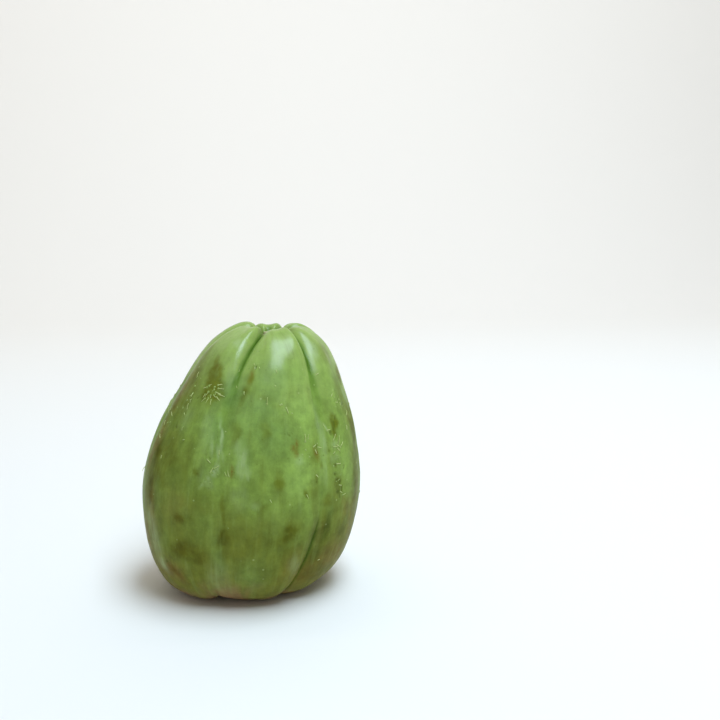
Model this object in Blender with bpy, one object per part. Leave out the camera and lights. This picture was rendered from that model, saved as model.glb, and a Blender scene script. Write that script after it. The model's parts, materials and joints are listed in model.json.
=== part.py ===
"""A chayote squash: one pear-shaped green fruit with six lobes, standing on its broad blossom end.

The fruit is one solid. Its surface is a sphere's grid of rings and meridians, with each point
carried to a place on the fruit: the outline gives the ring's radius and height, the furrows cut
into it, the lobes swell between them, and the crooked axis leans the whole.
Metres, +Z up, the stem end on top. Azimuths are in degrees, 0 at the front (-Y), 90 at +X.
"""

import math

import bmesh
import bpy
import numpy as np

MM = 0.001

# Driving dimensions
LENGTH = 110 * MM  # from the table to the usual height of a lobe's top
WIDTH = 89.5 * MM  # across the belly, left to right
DEPTH = 83 * MM  # across the belly, front to back: the seed inside is flat, and so is the fruit
BEARING_CUT = 0.4 * MM  # how far the lobes it stands on are pressed flat

# The outline along a lobe's top, from the middle of the blossom end, out round the belly and up
# to the middle of the stem end: (share of half the width, share of the length).
OUTLINE = [
    (0.00, 0.058),
    (0.11, 0.045),
    (0.25, 0.011),
    (0.41, 0.000),
    (0.59, 0.009),
    (0.74, 0.039),
    (0.85, 0.096),
    (0.925, 0.165),
    (0.98, 0.262),
    (1.00, 0.380),
    (0.97, 0.510),
    (0.88, 0.645),
    (0.775, 0.748),
    (0.66, 0.848),
    (0.545, 0.922),
    (0.410, 0.969),
    (0.275, 0.992),
    (0.185, 0.986),
    (0.125, 0.960),
    (0.082, 0.938),
    (0.050, 0.938),
    (0.00, 0.946),
]

# The crooked axis: where the middle of the fruit lies at shares of the length, as offsets in X and Y.
AXIS_AT = [0.0, 0.3, 0.5, 0.8, 1.0]
AXIS_X = [-2.0 * MM, 0.8 * MM, 1.8 * MM, 6.3 * MM, 10.0 * MM]
AXIS_Y = [0.8 * MM, 0.2 * MM, 0.0, 1.6 * MM, 2.6 * MM]

# Furrows run from end to end. Their values stand at these five shares of the way along the
# outline: the rim of the blossom end, the lower flank, the belly, the shoulder, the stem end's rim.
STATIONS = [0.14, 0.29, 0.47, 0.72, 0.90]
# Each furrow: azimuths, depths in millimetres, and how many degrees its two banks take to rise.
FURROWS = [
    {"azimuth": [-24, -18, -14, -22, -18], "depth": [2.8, 0.9, 0.7, 2.0, 5.8], "banks": (7, 12)},
    {"azimuth": [25, 32, 37, 39, 39], "depth": [1.8, 3.1, 1.0, 2.1, 5.2], "banks": (6, 12)},
    {"azimuth": [86, 90, 97, 101, 97], "depth": [2.6, 1.1, 0.5, 1.9, 4.6], "banks": (11, 9)},
    {"azimuth": [150, 146, 150, 155, 152], "depth": [3.0, 1.6, 0.8, 2.6, 5.4], "banks": (12, 9)},
    {"azimuth": [206, 212, 209, 207, 213], "depth": [2.2, 0.8, 0.4, 1.8, 4.6], "banks": (9, 12)},
    {"azimuth": [278, 276, 278, 277, 273], "depth": [2.6, 0.9, 0.6, 2.0, 4.4], "banks": (12, 9)},
]
CREASE_REACH = 2.2  # degrees: the sharp fold at the bottom of each furrow
CREASE_SHARE = 0.34  # how much of a furrow's depth the fold takes

# Each lobe, from its furrow to the next: how far it swells past the outline, in millimetres, at
# the stem end, the belly and the blossom end.
LOBES = [
    {"stem": -1.6, "belly": 0.4, "blossom": -0.1},
    {"stem": -1.4, "belly": 0.0, "blossom": -0.4},
    {"stem": -1.0, "belly": -0.2, "blossom": 0.0},
    {"stem": -2.0, "belly": 0.3, "blossom": -0.4},
    {"stem": 0.0, "belly": -0.3, "blossom": 0.0},
    {"stem": -1.0, "belly": 0.2, "blossom": 0.0},
]

# The mouth of the blossom end, which the seed would sprout from: a puckered slit along X.
MOUTH_LENGTH = 24 * MM
MOUTH_WIDTH = 4.6 * MM
MOUTH_DEPTH = 4.5 * MM

# Shallow hollows where the fruit grew unevenly: azimuth, share of the way along the outline,
# reach and depth.
HOLLOWS = [
    (-2, 0.190, 8 * MM, 1.1 * MM),
    (62, 0.190, 8 * MM, 0.9 * MM),
    (64, 0.390, 13 * MM, 0.6 * MM),
    (-62, 0.600, 15 * MM, 0.9 * MM),
    (128, 0.565, 14 * MM, 1.0 * MM),
    (190, 0.410, 16 * MM, 0.8 * MM),
    (240, 0.510, 12 * MM, 0.7 * MM),
]

MERIDIANS_PER_LOBE = 13
RINGS = 56


def through(knots, values, at):
    """A smooth curve through the values at the knots, read at some places."""
    knots = np.asarray(knots, float)
    values = np.asarray(values, float)
    at = np.clip(at, knots[0], knots[-1])
    slopes = np.gradient(values, knots)
    k = np.clip(np.searchsorted(knots, at, side="right") - 1, 0, len(knots) - 2)
    span = knots[k + 1] - knots[k]
    t = (at - knots[k]) / span
    rise = (2 * t**3 - 3 * t**2 + 1) * values[k] + (3 * t**2 - 2 * t**3) * values[k + 1]
    lean = (t**3 - 2 * t**2 + t) * slopes[k] + (t**3 - t**2) * slopes[k + 1]
    return rise + lean * span


def smooth_step(low, high, x):
    t = np.clip((x - low) / (high - low), 0.0, 1.0)
    return t * t * (3 - 2 * t)


def outline():
    """The outline in metres: its length, then shares of it, radii, heights and outward normals."""
    points = np.array(OUTLINE) * (WIDTH / 2, LENGTH)
    chords = np.linalg.norm(np.diff(points, axis=0), axis=1)
    knots = np.concatenate([[0], np.cumsum(np.sqrt(chords))])
    at = np.linspace(0, knots[-1], 800)
    radius = through(knots, points[:, 0], at)
    height = through(knots, points[:, 1], at)
    steps = np.hypot(np.diff(radius), np.diff(height))
    share = np.concatenate([[0], np.cumsum(steps)]) / steps.sum()
    along = np.stack([np.gradient(radius, share), np.gradient(height, share)], axis=1)
    along /= np.linalg.norm(along, axis=1)[:, None]
    return steps.sum(), share, np.maximum(radius, 0), height, along[:, 1], -along[:, 0]


ROUND, SHARE, RADIUS, HEIGHT, NORMAL_R, NORMAL_Z = outline()


def ring_shares():
    """How far along the outline each ring lies. Rings stand closer together at the two ends."""
    even = np.linspace(0, 1, RINGS + 1)
    return even - 0.62 * np.sin(2 * math.pi * even) / (2 * math.pi)


def meridian(index):
    """A meridian's lobe, and how far across the lobe it lies. They crowd towards the furrows."""
    lobe, step = divmod(index, MERIDIANS_PER_LOBE)
    even = step / MERIDIANS_PER_LOBE
    crowded = 0.5 - 0.5 * math.cos(math.pi * even)
    return lobe, 0.35 * even + 0.65 * crowded


def furrow_azimuth(number, share):
    turns, which = divmod(number, len(FURROWS))
    return through(STATIONS, FURROWS[which]["azimuth"], share) + 360 * turns


def furrow_cut(azimuth, share):
    """How deep the furrows lie under the outline at a place."""
    cut = 0.0
    for number, furrow in enumerate(FURROWS):
        depth = max(0.0, float(through(STATIONS, furrow["depth"], share))) * MM
        aside = (azimuth - float(furrow_azimuth(number, share)) + 180) % 360 - 180
        bank = furrow["banks"][0] if aside < 0 else furrow["banks"][1]
        valley = math.exp(-((aside / bank) ** 2))
        crease = math.exp(-abs(aside) / CREASE_REACH)
        cut += depth * ((1 - CREASE_SHARE) * valley + CREASE_SHARE * crease)
    return cut


def lobe_swell(lobe, across, share):
    """How far a lobe swells past the outline at a place."""
    values = LOBES[lobe]
    swell = through(
        [0.14, 0.47, 0.90], [values["blossom"], values["belly"], values["stem"]], share
    )
    return float(swell) * MM * math.sin(math.pi * across) ** 1.5


def hollow(azimuth, share):
    """How deep the shallow hollows lie at a place."""
    radius = np.interp(share, SHARE, RADIUS)
    depth = 0.0
    for where, middle, reach, most in HOLLOWS:
        around = math.radians((azimuth - where + 180) % 360 - 180) * radius
        away = math.hypot(around, (share - middle) * ROUND)
        depth += most * math.exp(-((away / reach) ** 2))
    return depth


def place(lobe, across, share):
    """The point of the fruit's surface at a meridian and a share of the way along the outline."""
    left, right = furrow_azimuth(lobe, share), furrow_azimuth(lobe + 1, share)
    azimuth = float(left + (right - left) * across)
    radius = np.interp(share, SHARE, RADIUS)
    height = np.interp(share, SHARE, HEIGHT)
    # Near the middle of either end the lobes and furrows run out into the pit.
    open_ring = float(smooth_step(0.0, 0.2 * WIDTH / 2, radius))
    move = lobe_swell(lobe, across, share) - furrow_cut(azimuth, share)
    move = move * open_ring - hollow(azimuth, share)
    radius = max(0.0, radius + move * np.interp(share, SHARE, NORMAL_R))
    height += move * np.interp(share, SHARE, NORMAL_Z)
    turn = math.radians(azimuth)
    level = height / LENGTH
    x = radius * math.sin(turn)
    y = -radius * math.cos(turn) * DEPTH / WIDTH
    if share < 0.25:
        inside = float(smooth_step(MOUTH_LENGTH / 2, MOUTH_LENGTH / 5, abs(x)))
        height += MOUTH_DEPTH * inside * math.exp(-((y / (MOUTH_WIDTH / 2)) ** 2))
    x += float(through(AXIS_AT, AXIS_X, level))
    y += float(through(AXIS_AT, AXIS_Y, level))
    return x, y, height


def build_fruit():
    """The fruit's mesh: a sphere's rings and meridians, each point carried to its place."""
    around = len(LOBES) * MERIDIANS_PER_LOBE
    shares = ring_shares()
    fruit = bmesh.new()
    bmesh.ops.create_uvsphere(fruit, u_segments=around, v_segments=RINGS, radius=1)
    for vertex in fruit.verts:
        polar = math.acos(max(-1.0, min(1.0, -vertex.co.z)))
        turn = math.atan2(vertex.co.x, -vertex.co.y) % (2 * math.pi)
        ring = round(polar / math.pi * RINGS)
        lobe, across = meridian(round(turn / (2 * math.pi) * around) % around)
        vertex.co = place(lobe, across, float(shares[ring]))
    stand(fruit)
    bmesh.ops.recalc_face_normals(fruit, faces=fruit.faces)
    mesh = bpy.data.meshes.new("chayote")
    fruit.to_mesh(mesh)
    fruit.free()
    mesh.shade_smooth()
    return mesh


def stand(fruit):
    """Stands the fruit on the table, its lowest lobes pressed flat, with the origin under its middle."""
    lowest = min(vertex.co.z for vertex in fruit.verts)
    for vertex in fruit.verts:
        vertex.co.z = max(0.0, vertex.co.z - lowest - BEARING_CUT)
    for axis in (0, 1):
        places = [vertex.co[axis] for vertex in fruit.verts]
        middle = (min(places) + max(places)) / 2
        for vertex in fruit.verts:
            vertex.co[axis] -= middle


def skin_material():
    """Smooth waxy green skin."""
    material = bpy.data.materials.new("skin")
    material.use_nodes = True
    shader = material.node_tree.nodes["Principled BSDF"]
    shader.inputs["Base Color"].default_value = (0.165, 0.255, 0.065, 1)
    shader.inputs["Roughness"].default_value = 0.42
    shader.inputs["Metallic"].default_value = 0.0
    return material


def main():
    for left_over in list(bpy.data.objects):
        bpy.data.objects.remove(left_over)
    mesh = build_fruit()
    mesh.materials.append(skin_material())
    chayote = bpy.data.objects.new("chayote", mesh)
    bpy.context.scene.collection.objects.link(chayote)


main()
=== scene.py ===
# %% [markdown]
# # A chayote squash, from a plain solid to a ripe skin
#
# A chayote is a pear-shaped green squash. Six lobes run from the sunken stem end down to the
# puckered blossom end, with furrows between them. It is one grown piece, so the frame holds one
# solid, and everything here is about its skin: soft lumps, waxy gloss, olive blotches, corky
# scars and a scatter of pale bristles.
#
# The script loads that solid, models the skin round it, gives each piece its finish, and sets the
# fruit on a plain pale floor under a large soft light.

# %% Load the frame
import json
import math
import random

import bmesh
import bpy
import numpy as np
from mathutils import Matrix, Vector, noise
from mathutils.bvhtree import BVHTree

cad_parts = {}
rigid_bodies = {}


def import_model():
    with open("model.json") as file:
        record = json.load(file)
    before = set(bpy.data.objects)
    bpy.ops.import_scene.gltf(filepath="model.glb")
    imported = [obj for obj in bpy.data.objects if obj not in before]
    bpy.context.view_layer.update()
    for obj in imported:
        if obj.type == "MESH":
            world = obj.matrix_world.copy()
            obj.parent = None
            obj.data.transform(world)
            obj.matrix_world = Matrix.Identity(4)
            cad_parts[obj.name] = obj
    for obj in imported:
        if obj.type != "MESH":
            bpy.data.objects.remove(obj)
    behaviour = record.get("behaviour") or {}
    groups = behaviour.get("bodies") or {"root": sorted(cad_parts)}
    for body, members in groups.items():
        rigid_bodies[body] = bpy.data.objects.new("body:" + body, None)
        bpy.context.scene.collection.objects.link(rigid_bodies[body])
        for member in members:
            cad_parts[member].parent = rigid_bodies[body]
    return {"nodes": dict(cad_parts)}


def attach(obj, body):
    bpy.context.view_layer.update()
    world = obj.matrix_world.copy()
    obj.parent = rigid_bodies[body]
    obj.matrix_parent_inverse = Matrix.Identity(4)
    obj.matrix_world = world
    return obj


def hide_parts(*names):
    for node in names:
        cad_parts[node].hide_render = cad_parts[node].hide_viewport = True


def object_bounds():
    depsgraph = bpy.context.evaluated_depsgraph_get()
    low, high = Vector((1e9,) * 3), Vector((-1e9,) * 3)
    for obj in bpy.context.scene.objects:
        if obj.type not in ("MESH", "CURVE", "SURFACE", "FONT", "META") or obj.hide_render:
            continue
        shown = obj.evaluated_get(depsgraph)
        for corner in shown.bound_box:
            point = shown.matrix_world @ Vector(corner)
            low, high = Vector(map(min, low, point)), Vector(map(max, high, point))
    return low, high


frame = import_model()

MM = 0.001
bpy.context.view_layer.update()
cad_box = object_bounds()
print("the solid, in mm:", [round(side / MM, 1) for side in cad_box[1] - cad_box[0]])

# %% [markdown]
# ## Finding a place on the fruit
#
# A spot or a bristle is easiest to place as on a globe: by its azimuth round the fruit, and its
# height above the table. The stem end leans to one side, so the azimuth has to be taken about the
# crooked middle line. That line is measured here: the solid is cut into level slices, and the
# middle of each slice is one point of the line.

# %% The crooked middle line
SLICES = 16
FROM_SHARE, TO_SHARE = 0.1, 0.9  # of the length, where the first and the last slice lie
SLICE_SHARE = 0.04  # of the length, to each side of a slice's middle
LENGTH = cad_box[1].z
DEPTH_TO_WIDTH = (cad_box[1].y - cad_box[0].y) / (cad_box[1].x - cad_box[0].x)


def middle_line(mesh):
    """Heights, and the x and y of the fruit's middle at each of them."""
    points = np.array([vertex.co for vertex in mesh.vertices])
    heights = np.linspace(FROM_SHARE, TO_SHARE, SLICES) * LENGTH
    thick = SLICE_SHARE * LENGTH
    slices = [points[abs(points[:, 2] - height) < thick] for height in heights]
    middles = [(part.min(axis=0) + part.max(axis=0)) / 2 for part in slices]
    return heights, [middle[0] for middle in middles], [middle[1] for middle in middles]


MIDDLE = middle_line(frame["nodes"]["chayote"].data)


def middle_at(height):
    return np.interp(height, MIDDLE[0], MIDDLE[1]), np.interp(height, MIDDLE[0], MIDDLE[2])


def azimuth_of(x, y, z):
    """Degrees round the fruit: 0 at the front, 90 at +X. It takes numbers or arrays."""
    middle_x, middle_y = middle_at(z)
    return np.degrees(np.arctan2(x - middle_x, -(y - middle_y) / DEPTH_TO_WIDTH))


print("the stem end leans over by", round((MIDDLE[1][-1] - MIDDLE[1][0]) / MM, 1), "mm")

# %% [markdown]
# ## The camera
#
# The fruit is seen from a little above its shoulders at arm's length. The camera looks past it,
# to the right and over its top, so that it stands low on the left of the frame.

# %% Place the camera
EYE = (0, -0.4027, 0.1554)
LOOK_DOWN = 8.75  # degrees
LOOK_RIGHT = 6.33

camera_data = bpy.data.cameras.new("camera")
camera_data.lens = 50
camera_data.sensor_width = 36
camera_data.clip_start = 0.02
camera = bpy.data.objects.new("camera", camera_data)
camera.location = EYE
camera.rotation_euler = (math.radians(90 - LOOK_DOWN), 0, math.radians(-LOOK_RIGHT))
bpy.context.scene.collection.objects.link(camera)
bpy.context.scene.camera = camera
print("the camera is", round(-EYE[1], 2), "m in front of the fruit")

# %% [markdown]
# ## The skin's surface
#
# The solid is made of flat triangles a few millimetres wide, which would show as facets on a
# glossy skin. Subdivision is the way to smooth them: the triangles are first joined back into
# the four-sided faces they were cut from, because a subdivision surface flows best over those.
# It also rounds off the furrows, so the edges along each fold get a crease in proportion to how
# sharp the fold is.

# %% A smooth copy of the solid
FOLD_FROM = math.radians(9)  # a fold as open as this is left soft
FOLD_FULL = math.radians(40)  # and one as sharp as this gets the full crease
FULL_CREASE = 0.75
FLATNESS_TO_JOIN = 0.7  # radians between two triangles that may still be joined
SQUARENESS_TO_JOIN = 0.9
SMOOTHING = 2


def smooth_copy(node, name):
    """A new object whose mesh is a solid's mesh, joined into quads and subdivided."""
    shape = bmesh.new()
    shape.from_mesh(frame["nodes"][node].data)
    bmesh.ops.remove_doubles(shape, verts=shape.verts, dist=0.001 * MM)
    bmesh.ops.join_triangles(
        shape,
        faces=shape.faces,
        angle_face_threshold=FLATNESS_TO_JOIN,
        angle_shape_threshold=SQUARENESS_TO_JOIN,
    )
    crease = shape.edges.layers.float.new("crease_edge")
    for edge in shape.edges:
        fold = -edge.calc_face_angle_signed(0)
        sharpness = (fold - FOLD_FROM) / (FOLD_FULL - FOLD_FROM)
        edge[crease] = FULL_CREASE * min(1, max(0, sharpness))
    rough = bpy.data.meshes.new(name)
    shape.to_mesh(rough)
    shape.free()
    piece = bpy.data.objects.new(name, rough)
    bpy.context.scene.collection.objects.link(piece)
    smoothing = piece.modifiers.new("smoothing", "SUBSURF")
    smoothing.levels = smoothing.render_levels = SMOOTHING
    smooth = bpy.data.meshes.new_from_object(
        piece.evaluated_get(bpy.context.evaluated_depsgraph_get())
    )
    piece.modifiers.clear()
    piece.data = smooth
    bpy.data.meshes.remove(rough)
    smooth.name = name
    return piece


skin = smooth_copy("chayote", "skin")
print("the skin has", len(skin.data.polygons), "faces")


# %% Read a mesh as arrays
def points_of(mesh):
    values = np.empty(len(mesh.vertices) * 3)
    mesh.vertices.foreach_get("co", values)
    return values.reshape(-1, 3)


def normals_of(mesh):
    values = np.empty(len(mesh.vertices) * 3)
    mesh.vertex_normals.foreach_get("vector", values)
    return values.reshape(-1, 3)


def neighbours_of(mesh):
    values = np.empty(len(mesh.edges) * 2, dtype=np.int32)
    mesh.edges.foreach_get("vertices", values)
    return values.reshape(-1, 2)


def write_points(mesh, points):
    mesh.vertices.foreach_set("co", points.ravel())
    mesh.update()


def ease(low, high, value):
    """0 below low, 1 above high, and a smooth rise between."""
    t = np.clip((value - low) / (high - low), 0, 1)
    return t * t * (3 - 2 * t)


# %% [markdown]
# ## Lumps, ribs and puckers
#
# No fruit is as even as a formula. A real one has faint ribs from end to end, soft lumps the size
# of a fingertip, and fine puckers round both ends. Each is a gentle push along the skin's normal,
# and noise gives it a natural unevenness. For the ribs the noise is read on a drum: it changes
# quickly round the fruit and slowly along it.

# %% Uneven growth
RIB_HEIGHT = 0.34 * MM
RIB_FINENESS = 3.1
LUMP_HEIGHT = 0.35 * MM
LUMP_SIZE = 17 * MM
RIPPLE_HEIGHT = 0.07 * MM
RIPPLE_SIZE = 4.5 * MM
PUCKER_HEIGHT = 0.22 * MM
PUCKERS = 34
PIT_PUCKERS = 22
END_LUMPS = 0.35  # of their height on the belly, how high the lumps still are at the ends


def drum(azimuth, height, fineness, along):
    """A place on a drum round the fruit, for noise that runs from end to end."""
    turn = math.radians(azimuth)
    return Vector((math.sin(turn) * fineness, math.cos(turn) * fineness, height / LENGTH * along))


def stem_pit(mesh):
    """The floor of the pit at the stem end, where the most edges of the mesh meet."""
    high = [vertex.index for vertex in mesh.vertices if vertex.co.z > LENGTH / 2]
    meeting = np.bincount(neighbours_of(mesh).ravel(), minlength=len(mesh.vertices))
    return mesh.vertices[max(high, key=lambda index: meeting[index])].co.copy()


pit = stem_pit(skin.data)
print("the pit's floor is at", [round(value / MM, 1) for value in pit])

# %% Where the belly, the underside and the pit's rim are, each fading in between two limits
points = points_of(skin.data)
normals = normals_of(skin.data)
azimuths = azimuth_of(*points.T)
middle_x, middle_y = middle_at(points[:, 2])
reach = np.hypot(points[:, 0] - middle_x, points[:, 1] - middle_y)
pit_reach = np.hypot(points[:, 0] - pit.x, points[:, 1] - pit.y)
belly = ease(0.0, 0.16, points[:, 2] / LENGTH) * ease(1.0, 0.78, points[:, 2] / LENGTH)
underside = ease(6 * MM, 1 * MM, points[:, 2]) * ease(17 * MM, 7 * MM, reach)
pit_rim = ease(9 * MM, 4 * MM, pit_reach) * ease(0.85 * LENGTH, 0.9 * LENGTH, points[:, 2])
for name, zone in (("belly", belly), ("underside", underside), ("pit's rim", pit_rim)):
    print("the", name, "takes in", round(float(zone.mean()) * 100, 1), "percent of the skin's points")

# %% Push the skin out and in
push = np.zeros(len(points))
for index, (point, azimuth) in enumerate(zip(points, azimuths)):
    place = Vector(point)
    rib = noise.noise(drum(azimuth, point[2], RIB_FINENESS, 1.1))
    lump = noise.noise(place / LUMP_SIZE)
    ripple = noise.noise(place / RIPPLE_SIZE + Vector((7, 3, 1)))
    pucker = math.sin(math.radians(azimuth) * PUCKERS / 2 + 5 * lump)
    turn = math.atan2(point[1] - pit.y, point[0] - pit.x)
    pit_pucker = math.sin(turn * PIT_PUCKERS + 4 * lump)
    push[index] = (
        RIB_HEIGHT * rib * belly[index]
        + LUMP_HEIGHT * lump * (END_LUMPS + (1 - END_LUMPS) * belly[index])
        + RIPPLE_HEIGHT * ripple
        + PUCKER_HEIGHT * (pucker * underside[index] + 0.4 * pit_pucker * pit_rim[index])
    )
points += normals * push[:, None]
points[:, 2] = np.maximum(points[:, 2], 0.0)
write_points(skin.data, points)
print("the lumps move the skin by", round(push.min() / MM, 2), "to", round(push.max() / MM, 2), "mm")


# %% [markdown]
# ## Furrows that fade
#
# The furrows are sharp near the base, a little softer near the stem, and shallow and open on the
# flanks between. Smoothing does that: each point moves towards the middle of its neighbours, over
# and over, but only as far as a mask lets it. The mask works inside a furrow: fully on the
# flanks, in part near the stem, and not at all near the base.


# %% Smooth a set of points
def smoothed(points, neighbours, rounds):
    """Each point moved to the middle of its neighbours, over and over."""
    first, second = neighbours.T
    number = np.bincount(neighbours.ravel(), minlength=len(points))[:, None]
    for _ in range(rounds):
        total = [
            np.bincount(first, points[second, axis], len(points))
            + np.bincount(second, points[first, axis], len(points))
            for axis in range(3)
        ]
        points = np.stack(total, axis=1) / number
    return points


def depth_under(rounds):
    """How deep each point of the skin lies under the skin smoothed by so many rounds."""
    return ((smoothed(points, neighbours, rounds) - points) * normals_of(skin.data)).sum(axis=1)


# %% Open the furrows on the flanks
SHARP_BELOW = (0.34, 0.44)  # shares of the length between which the furrows open
SHARP_ABOVE = (0.86, 0.79)
TOP_OPENING = 0.4  # how far they are still opened near the stem
DEPTH_ROUNDS = 60  # enough smoothing to fill a furrow
OPENING_ROUNDS = 36

neighbours = neighbours_of(skin.data)
depth = depth_under(DEPTH_ROUNDS)
flank = TOP_OPENING + (1 - TOP_OPENING) * ease(*SHARP_ABOVE, points[:, 2] / LENGTH)
flank *= ease(*SHARP_BELOW, points[:, 2] / LENGTH)
opening = flank * ease(-0.1 * MM, 0.25 * MM, depth - np.median(depth))
points += (smoothed(points, neighbours, OPENING_ROUNDS) - points) * opening[:, None]
write_points(skin.data, points)
print("a furrow on the flanks is filled by up to", round((depth * opening).max() / MM, 2), "mm")


# %% Find a point of the skin from its azimuth and height
def tree_of(mesh):
    """The mesh in the form that a ray can be sent at."""
    corners = [vertex.co for vertex in mesh.vertices]
    return BVHTree.FromPolygons(corners, [tuple(face.vertices) for face in mesh.polygons])


skin_tree = tree_of(skin.data)


def on_skin(azimuth, height):
    """The point of the skin at an azimuth in degrees and a height in metres, and its normal."""
    middle_x, middle_y = middle_at(height)
    turn = math.radians(azimuth)
    out = Vector((math.sin(turn), -math.cos(turn) * DEPTH_TO_WIDTH, 0)).normalized()
    start = Vector((middle_x, middle_y, height))
    place, normal, _, _ = skin_tree.ray_cast(start, out)
    return place, normal


def frame_at(place, normal):
    """Directions on the skin at a place: across the fruit, and up towards the stem end."""
    across = Vector((0, 0, 1)).cross(normal).normalized()
    return across, normal.cross(across).normalized()


# %% How near the points lie to a spot
SPOT_DEPTH = 6 * MM  # how far a spot reaches into the fruit, beside its own half width


def nearness(points, azimuth, height, half_width, half_height, tilt=0.0):
    """Squared distances to a spot on the skin, counted in its own half widths and heights.

    The azimuth and tilt are in degrees and the rest in mm; a tilt leans the spot to the right.
    """
    place, normal = on_skin(azimuth, height * MM)
    across, up = frame_at(place, normal)
    turn = math.radians(tilt)
    along = np.array(up * math.cos(turn) + across * math.sin(turn))
    aside = np.array(across * math.cos(turn) - up * math.sin(turn))
    away = points - np.array(place)
    depth = away @ np.array(normal) / (SPOT_DEPTH + half_width * MM)
    flat = (away @ aside / (half_width * MM)) ** 2 + (away @ along / (half_height * MM)) ** 2
    return flat, depth**2


# %% [markdown]
# ## Knuckles
#
# The lobes' shoulders aren't evenly round: each swells into one or two soft knuckles, and these
# are what catch the light. They could be sculpted by hand. A bell-shaped rise, given by a place
# and a size, does the same and is easy to move.

# %% Knuckles on the shoulders: azimuth, height, half width, half height, rise in mm
KNUCKLES = [
    (10, 95, 6, 8, 0.55),
    (50, 88, 5, 9, 1.1),
    (58, 96, 4.2, 7, 0.5),
    (-40, 99, 4, 6, 0.6),
]

rise = np.zeros(len(points))
for *spot, lift in KNUCKLES:
    flat, away = nearness(points, *spot)
    rise += lift * MM * np.exp(-flat - away)
points += normals_of(skin.data) * rise[:, None]
write_points(skin.data, points)
skin_tree = tree_of(skin.data)
print("the knuckles stand out by up to", round(rise.max() / MM, 2), "mm")

# %% [markdown]
# ## Blemishes
#
# A grown skin is never one green. Broad washes of a younger, cooler, more olive or browner colour
# lie under small marks: bruises, rusty scars, milky scuffs where leaves rubbed, and the tiny pits
# that lost bristles leave. One wash, a deeper green, is mostly painted shade, along the lower
# creases, at the edges and at the lower right, and a few olive spots and bruises are painted shade
# too. A few pale scuffs are painted light: painted highlights on two knuckles, a painted reflection
# of the floor on the lower left rim and a painted sheen along the valley on the right. The pits'
# dark colour is painted shade in their hollows. Each is a soft spot: a place, half its width and
# half its height, a strength, and sometimes a tilt. They could be painted by hand, but spots in a
# list can be moved one at a time. The front's spots are listed one by one, apart from the loose
# patches of pits, where only each patch's middle and spread are listed. The rest of the fruit gets
# a seeded scatter in the same manner. They are kept on the mesh as numbers from 0 to 1, one
# attribute for each kind, and the skin's finish later breaks their edges up and colours them.

# %% Broad washes: azimuth, height, half width, half height, strength, tilt to the right
YOUNG = [
    (50, 84, 7, 9, 0.3), (55, 57, 6.5, 13, 0.42), (22, 92, 7, 7, 0.6), (27, 76, 5.5, 10, 0.7),
    (24, 55, 7, 9, 0.8), (38.5, 62, 2.6, 16, 0.2), (-44, 98, 9, 8, 0.2), (-9, 60, 4, 9, 0.4),
]
# Painted shade, for the most part: beside the lower right crease, down both edges and at the lower
# right.
DEEP_GREEN_AND_SHADE = [
    (41.8, 31, 2.6, 8, 1, 12), (38.8, 22, 2.6, 6, 0.7, 14), (33, 28, 4, 10, 0.4, 12),
    (46, 12, 9, 5, 0.6), (50, 21, 5, 6, 0.4), (37, 30, 2.2, 4, 0.7), (31, 19, 4, 5, 0.35),
    (24, 9, 8, 4, 0.6), (-22.6, 9.9, 2.6, 2.2, 0.8), (-66, 52, 4, 14, 0.5), (68, 44, 3, 12, 0.7),
    (16, 30, 8, 6, 0.3),
]
COOL = [
    (-3, 79, 9, 10, 0.6), (4, 90, 7, 8, 0.5), (8, 70, 9, 8, 0.5), (-20, 85, 6, 8, 0.8),
    (-24, 72, 6, 9, 0.6), (-22, 60, 4, 10, 0.2), (-6, 66, 4, 9, 0.4), (2, 17, 9, 7, 0.5),
    (-18, 26, 3, 12, 0.4),
]
# The olive spots high on the right lobe's back edge, at 62 and 68 degrees, are painted shade.
OLIVE = [
    (-50, 92, 6, 9, 0.5), (68, 103, 6, 5, 0.8), (-66, 95, 4, 9, 0.8), (-57, 60, 9, 15, 1),
    (-60, 82, 8, 12, 0.9), (-40, 60, 6, 10, 0.6), (-30, 45, 8, 8, 0.6), (-58, 38, 9, 10, 0.8),
    (-36, 31, 10, 9, 0.6), (-12, 36, 6, 12, 0.5), (4, 31, 10, 6, 0.7), (12, 38, 9, 4, 0.4),
    (14, 22, 8, 9, 0.7), (72, 62, 4, 20, 0.9), (14, 47, 3, 5, 0.3), (50, 30, 8, 11, 1),
    (38, 24, 6, 12, 0.5), (66, 52, 4, 14, 0.8), (70, 78, 4, 12, 0.7), (62, 98, 5, 6, 0.6),
    (48, 44, 7, 7, 0.4), (-46, 84, 4, 14, 0.4), (22, 26, 6, 8, 0.4),
]
BROWN = [
    (-66, 44, 5, 15, 0.6), (-60, 28, 4, 11, 0.4), (-45, 14.6, 6, 4, 1, 48), (-72, 62, 4, 12, 0.9),
    (-68, 84, 3, 8, 0.8), (-52, 15, 9, 5, 1), (43, 13, 11, 8, 1), (53, 18, 8, 8, 1),
    (66, 30, 4, 12, 0.6), (-20, 7, 9, 3.5, 1), (10, 8, 12, 3, 0.7), (-62, 38, 3, 14, 0.8),
    (38, 30, 3, 7, 0.5), (24, 8, 9, 4, 0.9), (24, 17, 5, 8, 0.5), (-36, 8, 12, 5, 1),
    (-70, 26, 4, 9, 0.8), (70, 42, 3, 10, 0.8), (58, 38, 4, 4, 0.5), (-42, 45, 6, 8, 0.4),
]
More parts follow.
